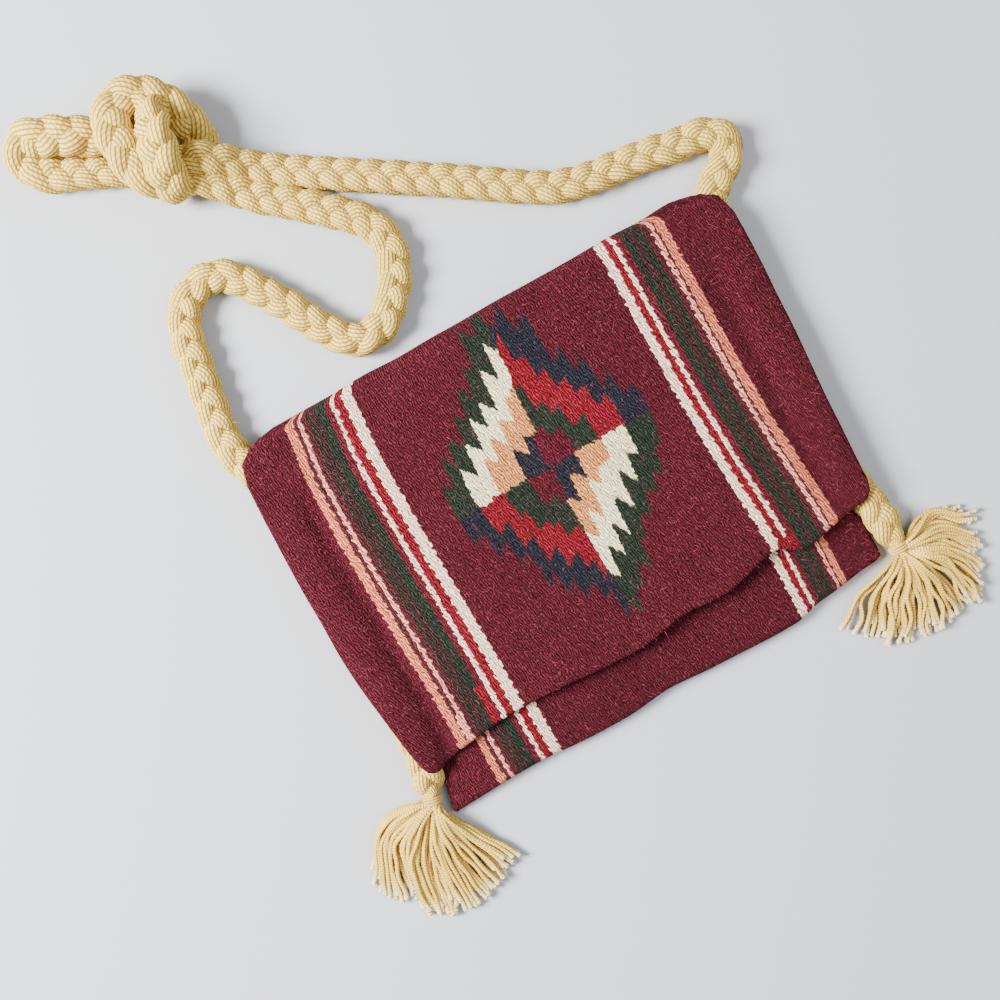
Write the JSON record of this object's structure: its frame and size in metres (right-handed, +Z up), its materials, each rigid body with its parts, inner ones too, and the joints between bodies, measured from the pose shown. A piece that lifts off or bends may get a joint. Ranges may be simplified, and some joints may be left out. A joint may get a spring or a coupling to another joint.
{
  "type": "woven shoulder bag",
  "caption": "Flat tapestry-woven wool shoulder bag with a long flap, braided side cords and strap tied in a knot, and a yarn tassel at each bottom corner.",
  "frame": {"origin": "middle of the back panel's resting face", "axes": "+X across the bag, +Y up the bag towards its top fold, +Z up from the surface it lies on, out of the flap"},
  "size_m": [0.37, 0.464, 0.0338],
  "materials": {
    "wool_cloth": "matte weft-faced wool tapestry",
    "cream_braid": "matte three-strand braid of plied yarn",
    "cream_yarn": "matte loose plied yarn"
  },
  "bodies": {
    "root": {"woven_cloth": "wool_cloth", "shoulder_strap": "cream_braid", "side_braid_left": "cream_braid", "side_braid_right": "cream_braid", "tassel_tie_left": "cream_yarn", "tassel_tie_right": "cream_yarn", "tassel_left": "cream_yarn", "tassel_right": "cream_yarn"}
  },
  "joints": []
}
